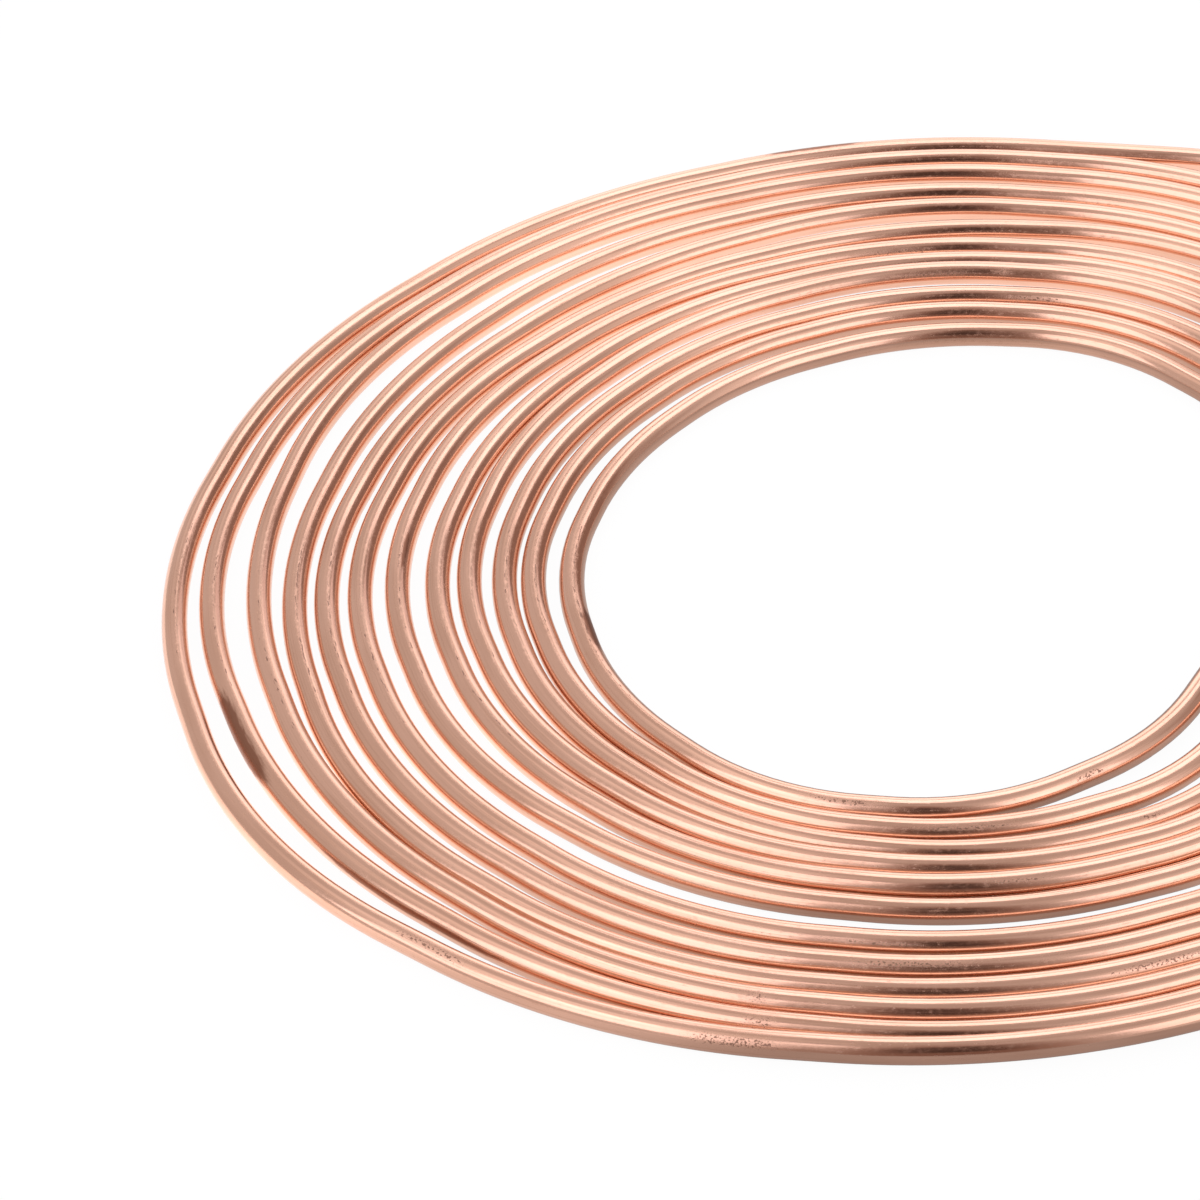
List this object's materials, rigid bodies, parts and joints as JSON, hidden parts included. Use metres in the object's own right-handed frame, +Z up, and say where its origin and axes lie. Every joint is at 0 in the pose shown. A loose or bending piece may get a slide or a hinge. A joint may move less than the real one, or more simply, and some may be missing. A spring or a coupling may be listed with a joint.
{
  "type": "copper tube coil",
  "caption": "Soft copper tube wound into a flat, single-layer open coil with a free end outside and a free end curling into the eye.",
  "frame": {"origin": "on the floor, on the axis that the tube is wound about, in the middle of the coil's eye", "axes": "+Z up, across the flat coil; the camera of the picture looks along +Y; the outer free end leaves at the back right"},
  "size_m": [0.2719, 0.2772, 0.0063],
  "materials": {
    "copper": "bright drawn copper, lightly stained"
  },
  "bodies": {
    "root": {"tube_coil": "copper"}
  },
  "joints": []
}
